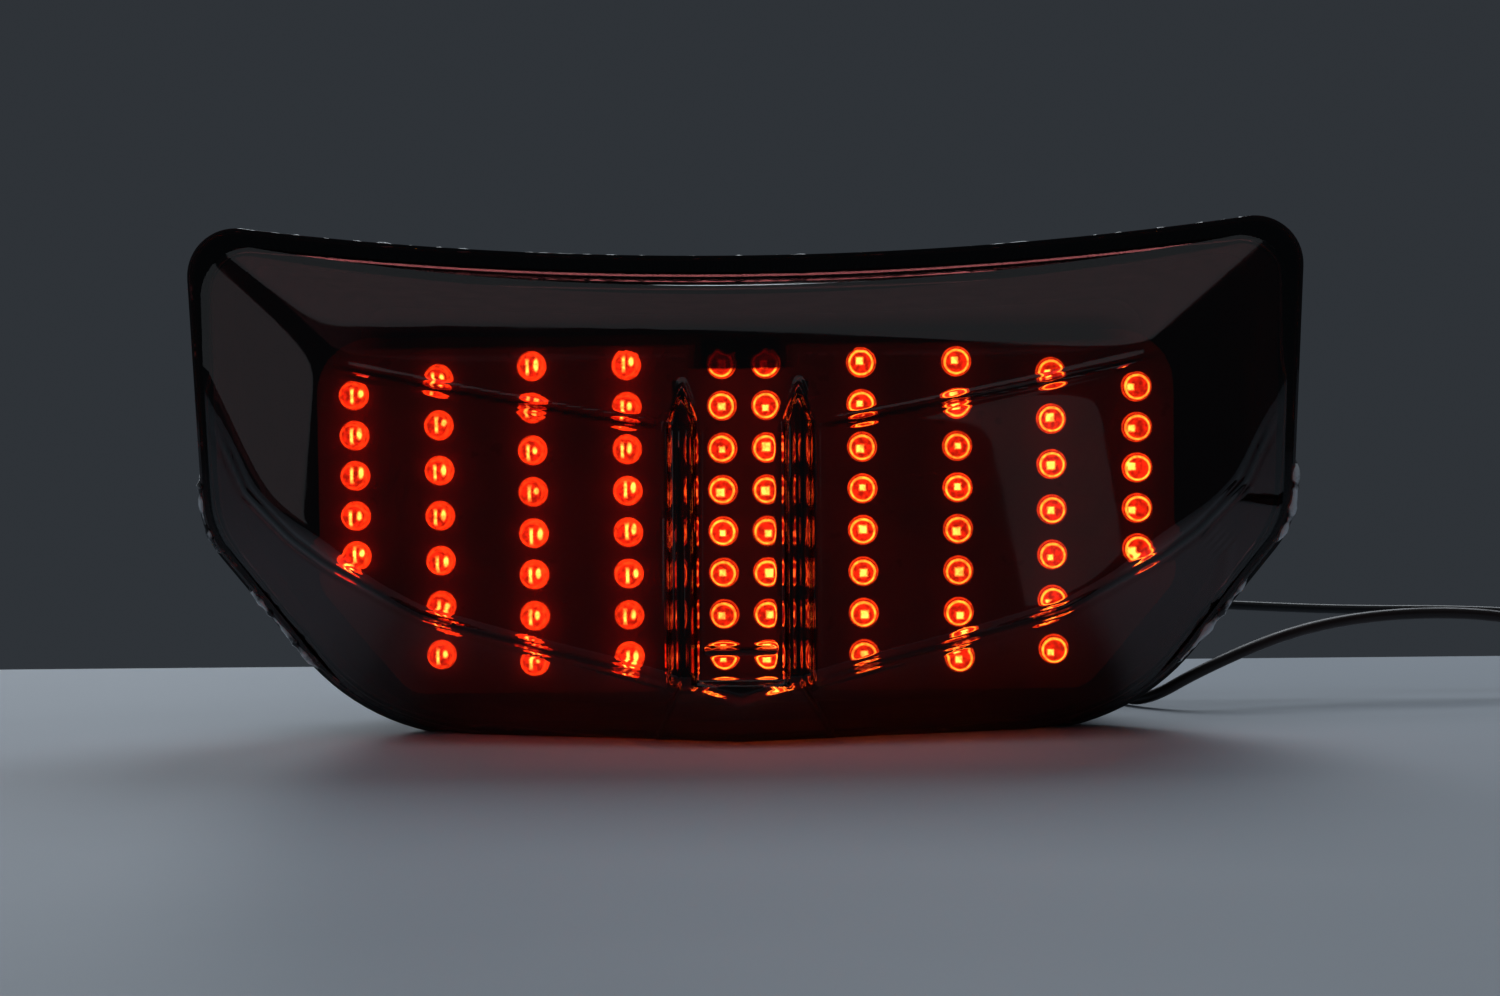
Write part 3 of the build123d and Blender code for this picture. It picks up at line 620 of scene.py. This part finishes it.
def whole_grid(top, bottom, side):
    """Coons patch over both halves: rows of (x, z)."""
    n = len(COLUMNS) - 1
    grid = []
    for j, v in enumerate(ROWS):
        row = []
        for i in range(-n, n + 1):
            sign, u = (-1 if i < 0 else 1), COLUMNS[abs(i)]
            s = (1 + sign * u) / 2
            b = (sign * bottom[abs(i)][0], bottom[abs(i)][1])
            t = (sign * top[abs(i)][0], top[abs(i)][1])
            point = []
            for axis in (0, 1):
                flip = -1 if axis == 0 else 1
                left, right = flip * side[j][axis], side[j][axis]
                lb, rb = flip * side[0][axis], side[0][axis]
                lt, rt = flip * side[-1][axis], side[-1][axis]
                ruled = (1 - v) * b[axis] + v * t[axis] + (1 - s) * left + s * right
                corners = (1 - v) * ((1 - s) * lb + s * rb) + v * ((1 - s) * lt + s * rt)
                point.append(ruled - corners)
            row.append(tuple(point))
        grid.append(row)
    return grid


def ring_of(rows):
    """The border of a grid, once round, starting at its lower left."""
    up = [row[-1] for row in rows]
    down = [row[0] for row in reversed(rows)]
    return rows[0][:-1] + up[:-1] + list(reversed(rows[-1]))[:-1] + down[:-1]


def border_ring(top, bottom, side):
    """Both halves' border as one closed ring of (x, z)."""
    return ring_of(whole_grid(top, bottom, side))


def shell_surface(inset, form):
    """The wall's ring on the joint, and rows of points over the facets."""
    near = border(LENS_BASE, COLUMNS, ROWS, inset)
    far = border(LENS_FAR, COLUMNS, ROWS, inset)
    met = [[on_wall(a, b, form) for a, b in zip(one, two)] for one, two in zip(near, far)]
    met[0][-1], met[1][-1] = met[2][-1], met[2][0]
    rows = [[(x, -form(x, z), z) for x, z in row] for row in whole_grid(*met)]
    return border_ring(*near), rows


FLANGE, FLANGE_EDGE = 3.0, 2.5  # how far the flange's front and its bevel stand in front of the joint
WALL_FOOT, LEAST_WALL = 3.3, 3.4  # where the wall ends above the flange, and the shallowest wall
WALL = 2.3  # thickness of the lens's wall


def make_lens():
    points, faces = [], []

    def add_rows(rows):
        ids = []
        for row in rows:
            ids.append(range(len(points), len(points) + len(row)))
            points.extend(row)
        for low, high in zip(ids, ids[1:]):
            for a, b, c, d in zip(low, low[1:], high[1:], high):
                faces.append((a, b, c, d))
        return ring_of([list(r) for r in ids])

    def join(before, after):
        for i in range(len(after)):
            k = (i + 1) % len(after)
            faces.append((before[i], before[k], after[k], after[i]))

    def add_ring(ring, before):
        ids = list(range(len(points), len(points) + len(ring)))
        points.extend(ring)
        join(before, ids)
        return ids

    def wall_at(top, foot, height):
        k = height / max(-top[1], LEAST_WALL)
        return foot[0] + (top[0] - foot[0]) * k, foot[1] + (top[2] - foot[1]) * k

    base, outer = shell_surface(0.0, outer_form)
    rim = border_ring(*border(RIM, COLUMNS, ROWS))
    rim_in = border_ring(*border(RIM, COLUMNS, ROWS, 0.5))
    last = add_rows(outer)
    # Painted shade for each point of the lens's outside
    shades = [painted_lens_shade(x, z) for x, _, z in points]
    edge = [points[i] for i in last]
    for share in (0.25, 0.5, 0.75, 0.9):
        ring = []
        for top, foot in zip(edge, base):
            x, y, z = top
            wx, wz = wall_at(top, foot, WALL_FOOT)
            ring.append((x + (wx - x) * share, y + (-WALL_FOOT - y) * share, z + (wz - z) * share))
        last = add_ring(ring, last)
    feet = [wall_at(top, foot, FLANGE) for top, foot in zip(edge, base)]
    last = add_ring([(x, -FLANGE, z) for x, z in feet], last)
    last = add_ring([(x, -FLANGE, max(z, 0)) for x, z in rim_in], last)
    last = add_ring([(x, -FLANGE_EDGE, z) for x, z in rim], last)
    last = add_ring([(x, 0.0, z) for x, z in rim], last)
    base_in, inner = shell_surface(WALL, inner_form)
    last = add_ring([(x, 0.0, z) for x, z in base_in], last)
    join(last, add_rows(inner))
    piece = mesh_piece("lens_moulding", points, faces, 38.0)
    shades += [0.0] * (len(points) - len(shades))
    store(piece, "lens_painted_shade", shades)
    # The lens's colour: smoked red, darkened towards black where shade is painted
    mat = material("smoked_lens", (0.40, 0.10, 0.10), 0.03, IOR=1.49, Transmission_Weight=1.0)
    shade = ramp(mat, attribute(mat, "lens_painted_shade"), (0.40, 0.10, 0.10, 1), (0.0002, 0.0, 0.0, 1), 0.0, 1.0)
    shade.color_ramp.elements.new(0.35).color = (0.16, 0.010, 0.012, 1)
    shade.color_ramp.elements.new(0.7).color = (0.018, 0.0006, 0.0008, 1)
    mat.node_tree.links.new(shade.outputs["Color"], shader_of(mat).inputs["Base Color"])
    vary(mat, "handling_haze", 40.0, "Roughness", 0.015, 0.07, 6.0, start=0.45, end=0.75)
    bump(mat, 55.0, 0.05, 0.0004, 2.0)
    paint(piece, mat)
    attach(piece, "light")
    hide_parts("lens")


# ---- LEDs ----------------------------------------------------------------------------------------
LED_X = (4.1, 21.8, 39.4, 56.8, 72.5)
LED_ROWS = ((8, 14.2, 68.2), (8, 14.2, 68.2), (8, 14.2, 68.2), (7, 15.6, 66.0), (5, 33.4, 63.4))
LED_FOOT = 0.2  # y of the flange's back, from the lens joint
LED_R, LED_TIP = 2.5, 8.6  # radius of body and dome, and length from the flange's back to the tip
DOME_FROM = 6.0  # distance along the LED from which it counts as the dome
DOME_STEPS = 14
LED_SPIN = 36  # points round an LED
STREAK_FROM = -15  # columns left of this x show a streak and not a square die
SIDE_GLOW = 0.96  # place on the LED's radial ramp that the side wall glows at


def led_profile():
    """(distance along the LED, radius) from the dome's tip to the flange's back."""
    made = []
    for i in range(DOME_STEPS + 1):
        t = math.pi / 2 * i / DOME_STEPS
        made.append((LED_TIP - LED_R + LED_R * math.cos(t), LED_R * math.sin(t)))
    made += [(4.0, LED_R), (1.35, LED_R), (1.1, 2.62), (1.0, 2.78), (0.9, 2.9), (0.1, 2.9), (0.0, 2.8)]
    return made


def streak_die(rx, rz, glint_x, glint_high):
    """Pattern of a left LED: an upright streak with a glint beside it."""
    square = max(abs(rx + 0.1) / 0.14, abs(rz) / 0.62)
    glint = math.hypot((rx - glint_x) / 0.2, (rz - 0.15) / glint_high)
    return max(1.2 - square ** 2, 1.3 - glint ** 2)


def square_die(rx, rz, half):
    return 1.7 - (max(abs(rx), abs(rz)) / half) ** 2


def make_led_column(number, x, heights, mat):
    points, faces, radial, die, level = [], [], [], [], []
    profile = led_profile()
    streak = x < STREAK_FROM
    # The left columns show a faint rim and no bright ring, and the dies of the right ones sit inward
    ring_edge = 0.745 if streak else 1.0
    lean = -0.4 * max(0.0, (x - LED_X[2]) / (LED_X[-1] - LED_X[2]))
    for z in heights:
        tilt_x, tilt_z = random.uniform(-0.16, 0.16), random.uniform(-0.16, 0.16)
        power = random.uniform(0.82, 1.12)
        die_half = random.uniform(0.19, 0.29)
        glint_x, glint_high = random.uniform(0.40, 0.56), random.uniform(0.24, 0.50)
        first = len(points)
        for along, radius in profile:
            for i in range(LED_SPIN):
                t = 2 * math.pi * i / LED_SPIN
                dx, dz = radius * math.cos(t), radius * math.sin(t)
                points.append((x + dx, LED_FOOT - along, z + dz))
                on_dome = along >= DOME_FROM
                rx, rz = dx / LED_R - tilt_x - lean, dz / LED_R - tilt_z
                size = math.hypot(dx, dz) / LED_R
                radial.append(min(size if on_dome else SIDE_GLOW, ring_edge))
                spot = streak_die(rx, rz, glint_x, glint_high) if streak else square_die(rx, rz, die_half)
                die.append(min(max(spot, 0), 1) if on_dome else 0.0)
                fall = 1.0 if on_dome else 0.5 + 0.1 * along
                level.append(power * fall * (1.0 - 0.25 * max(0, 0.6 - size)))
        for r in range(len(profile) - 1):
            for i in range(LED_SPIN):
                k = (i + 1) % LED_SPIN
                a, b = first + r * LED_SPIN, first + (r + 1) * LED_SPIN
                if r == 0:
                    if i == 0:
                        points[a] = (x, LED_FOOT - profile[0][0], z)
                    faces.append((a, b + i, b + k))
                else:
                    faces.append((a + i, b + i, b + k, a + k))
        back = first + (len(profile) - 1) * LED_SPIN
        faces.append(tuple(back + i for i in reversed(range(LED_SPIN))))
    piece = mesh_piece(f"leds_{number:02d}", points, faces, 50.0)
    store(piece, "led_r", radial)
    store(piece, "led_die", die)
    store(piece, "led_level", level)
    drop_loose(piece)
    paint(piece, mat)
    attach(piece, "light")
    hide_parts(f"led_column_{number:02d}")


def drop_loose(piece):
    """Takes away the points that no face uses."""
    bm = bmesh.new()
    bm.from_mesh(piece.data)
    bmesh.ops.delete(bm, geom=[v for v in bm.verts if not v.link_faces], context="VERTS")
    bm.to_mesh(piece.data)
    bm.free()


def make_leds():
    mat = led_material()
    for side in (-1, 1):
        for i, (x, (count, low, high)) in enumerate(zip(LED_X, LED_ROWS)):
            number = len(LED_X) + (i + 1 if side > 0 else -i)
            heights = [low + (high - low) * k / (count - 1) for k in range(count)]
            make_led_column(number, side * x, heights, mat)


# ---- Sealant that squeezed out of the joint ------------------------------------------------------
def low_sweep(x, z):
    """1 on the stretches of the rim where most sealant came out, 0 elsewhere."""
    a = abs(x)
    corner = step(a, 78.0, 83.0) * (1 - step(a, 91.0, 95.0)) * (1 - step(z, 26.0, 32.0))
    side = step(a, 96.0, 98.0) * step(z, 33.0, 36.0) * (1 - step(z, 47.0, 51.0))
    return max(corner, side)


def sealant_material(name, start, end):
    mat = material(name, (0.5, 0.5, 0.5), 0.25, Coat_Weight=0.4)
    vary(mat, "cured_patches", 260.0, "Base Color", (0.02, 0.018, 0.02), (0.86, 0.88, 0.90), 5.0,
         start=start, end=end)
    bump(mat, 900.0, 0.5, 0.0003)
    return mat


BEAD_INSET, BEAD_STEP, BEAD_AROUND, LEAST_BEAD = 0.35, 0.9, 8, 0.12


def make_squeeze_out():
    """An uneven bead round the rim, thicker and lower where low_sweep says so."""
    path = half_outline(RIM, BEAD_INSET)
    whole = path + [(-x, z) for x, z in reversed(path[1:-1])]
    total = sum(math.dist(a, b) for a, b in zip(whole, whole[1:] + whole[:1]))
    count = int(total / BEAD_STEP)
    ring = whole + whole[:1]
    centres = [at_share(ring, 0, total, i / count) for i in range(count)]
    points, faces = [], []
    for i, (x, z) in enumerate(centres):
        wobble = noise.noise(Vector((x * 0.35, z * 0.35, 3.1)))
        rough = noise.noise(Vector((x * 1.3, z * 1.3, 9.7)))
        smeared = low_sweep(x, z)
        lumps = (0.30 + 0.35 * smeared) * max(wobble, -0.5)
        grit = (0.16 + 0.22 * smeared) * rough
        radius = max(0.34 + 0.3 * smeared + lumps + grit, LEAST_BEAD)
        before, after = centres[i - 1], centres[(i + 1) % count]
        tangent = Vector((after[0] - before[0], after[1] - before[1])).normalized()
        out = Vector((-tangent[1], tangent[0]))
        if out.dot(Vector((x, z - 45.0))) < 0:
            out = -out
        for k in range(BEAD_AROUND):
            t = 2 * math.pi * k / BEAD_AROUND
            offset = radius * math.cos(t) + 0.45 * smeared
            px, pz = x + out[0] * offset, z + out[1] * offset
            points.append((px, 0.4 - 2.4 * smeared + radius * 1.5 * math.sin(t), max(pz, 0.02)))
    for i in range(count):
        for k in range(BEAD_AROUND):
            a, b = i * BEAD_AROUND, ((i + 1) % count) * BEAD_AROUND
            m = (k + 1) % BEAD_AROUND
            faces.append((a + k, a + m, b + m, b + k))
    piece = mesh_piece("sealant_squeeze_out", points, faces, 80.0)
    paint(piece, sealant_material("sealant", 0.56, 0.66), sealant_material("sealant_pale", 0.40, 0.52))
    for face in piece.data.polygons:
        middle = face.center / MM
        face.material_index = 1 if low_sweep(middle.x, middle.z) > 0.5 else 0
    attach(piece, "light")


# ---- Leads ---------------------------------------------------------------------------------------
# Points are (x, y, z) with y from the lens's joint
NOSE_Y = 46.0  # where the leads leave the grommet
EARTH_D, FEED_D = 1.9, 2.3
COIL_X, COIL_Y, COIL_BASE, COIL_TURNS, COIL_PITCH = 186.0, 48.0, 0.5, 2.25, 2.45
COIL_TOP = COIL_BASE + COIL_TURNS * COIL_PITCH + FEED_D
EARTH_COIL_R, FEED_COIL_R = 10.0, 12.3
EARTH_ROUTE = [
    (45.6, NOSE_Y, 20.0), (45.6, NOSE_Y + 7.0, 20.0), (49.6, 60.0, 20.0), (59.6, 63.4, 19.8),
    (76.0, 62.0, 19.0), (95.0, 60.2, 17.9), (117.0, 60.0, 16.8), (139.0, 58.6, 16.7),
    (156.0, 58.8, 15.8), (172.0, 58.4, 12.4),
]
FEED_ROUTE = [
    (48.4, NOSE_Y, 18.0), (48.4, NOSE_Y + 6.5, 18.0), (51.8, 59.0, 13.8), (58.8, 60.4, 8.2),
    (66.2, 54.8, 3.8), (71.0, 44.0, 1.5), (76.4, 33.6, 1.3), (87.0, 31.6, 7.6),
    (104.0, 42.0, 13.6), (120.0, 52.0, 16.0), (138.0, 55.2, 16.6), (153.0, 55.8, 15.0),
    (167.0, 60.2, 10.2),
]
EARTH_TAIL = [(195.8, 37.6, 1.6), (193.6, 31.4, 3.7), (193.6, 25.0, 3.7)]
FEED_TAIL = [(198.6, 38.4, 1.8), (196.8, 31.8, 3.7), (196.8, 25.0, 3.7)]
TURN_POINTS = 16


def coil_points(radius, diameter):
    """Clockwise turns that wind down from the top of the coil to the surface."""
    count = int(COIL_TURNS * TURN_POINTS)
    high, low = COIL_TOP + diameter / 2, COIL_BASE + diameter / 2
    made = []
    for i in range(count + 1):
        t = math.radians(90) - 2 * math.pi * i / TURN_POINTS
        z = high + (low - high) * i / count
        made.append((COIL_X + radius * math.cos(t), COIL_Y + radius * math.sin(t), z))
    return made


def make_lead(name, route, radius, diameter, tail, mat, nodes):
    points = route + coil_points(radius, diameter) + tail
    curve = bpy.data.curves.new(name, "CURVE")
    curve.dimensions = "3D"
    spline = curve.splines.new("NURBS")
    spline.points.add(len(points) - 1)
    for point, (x, y, z) in zip(spline.points, points):
        point.co = (*row_point(x, y, z), 1)
    spline.order_u = 3
    spline.use_endpoint_u = True
    spline.resolution_u = 8
    curve.bevel_depth = diameter * MM / 2
    curve.bevel_resolution = 5
    curve.use_fill_caps = True
    piece = bpy.data.objects.new(name, curve)
    bpy.context.scene.collection.objects.link(piece)
    paint(piece, mat)
    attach(piece, "light")
    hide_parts(*nodes)
    x, y, z = route[0]


def make_leads():
    black = plastic("wire_black", (0.008, 0.008, 0.009), (0.02, 0.02, 0.022), 0.38, 900.0, 0.00004)
    brown = plastic("wire_brown_black", (0.012, 0.006, 0.005), (0.035, 0.015, 0.012), 0.4, 900.0, 0.00004)
    make_lead("earth_cord", EARTH_ROUTE, EARTH_COIL_R, EARTH_D, EARTH_TAIL, black,
              ("earth_lead", "earth_coil", "earth_lead_end"))
    make_lead("feed_cord", FEED_ROUTE, FEED_COIL_R, FEED_D, FEED_TAIL, brown,
              ("feed_lead", "feed_coil", "feed_lead_end"))


# ---- CAD pieces that keep their shape ------------------------------------------------------------
def dress_frame():
    rubber = plastic("rubber", (0.010, 0.010, 0.010), (0.026, 0.026, 0.025), 0.72, 700.0, 0.0001)
    nylon = plastic("nylon", (0.014, 0.014, 0.016), (0.03, 0.03, 0.033), 0.42, 1200.0, 0.00005)
    zinc = metal("zinc_steel", (0.45, 0.46, 0.46), (0.72, 0.72, 0.70), 0.34)
    epoxy = plastic("component_black", (0.014, 0.014, 0.015), (0.04, 0.04, 0.042), 0.55)
    looks = {
        "rear_housing": plastic("housing_black", (0.006, 0.006, 0.007), (0.02, 0.02, 0.022), 0.46, 1600.0,
                                0.00012),
        "led_bezel": plastic("bezel_dark", (0.07, 0.005, 0.006), (0.14, 0.010, 0.012), 0.34, 300.0, 0.0001),
        "led_board": plastic("board", (0.10, 0.010, 0.010), (0.2, 0.02, 0.02), 0.4, 500.0),
        "bond_line": plastic("bond", (0.02, 0.02, 0.02), (0.25, 0.25, 0.25), 0.3, 400.0),
        "led_legs": metal("tinned", (0.6, 0.6, 0.58), (0.8, 0.8, 0.78), 0.3),
        "board_screws": zinc, "mount_collar_left": zinc, "mount_collar_right": zinc,
        "ballast_resistors": plastic("resistor", (0.18, 0.32, 0.42), (0.3, 0.46, 0.56), 0.3),
        "filter_capacitor": plastic("capacitor", (0.01, 0.01, 0.03), (0.03, 0.03, 0.06), 0.25),
        "plug_terminals": metal("brass", (0.6, 0.42, 0.16), (0.8, 0.62, 0.3), 0.3),
    }
    looks.update({n: rubber for n in ("lead_grommet", "mount_grommet_left", "mount_grommet_right",
                                      "vent_cap_left", "vent_cap_right", "plug_boot")})
    looks.update({n: nylon for n in ("plug_housing", "plug_latch", "coil_tie")})
    looks.update({n: epoxy for n in ("polarity_diodes", "tail_regulator", "stop_regulator")})
    looks.update({n: looks["rear_housing"] for n in ("mount_ear_left", "mount_ear_right", "rear_peg",
                                                     "vent_spout_left", "vent_spout_right")})
    looks["inner_wires"] = plastic("inner_wire", (0.012, 0.012, 0.012), (0.03, 0.03, 0.03), 0.4)
    for name, mat in looks.items():
        paint(NODES[name], mat)


make_camera()
make_leads()
make_studio()
make_floor()
make_lens()
make_leds()
make_squeeze_out()
dress_frame()
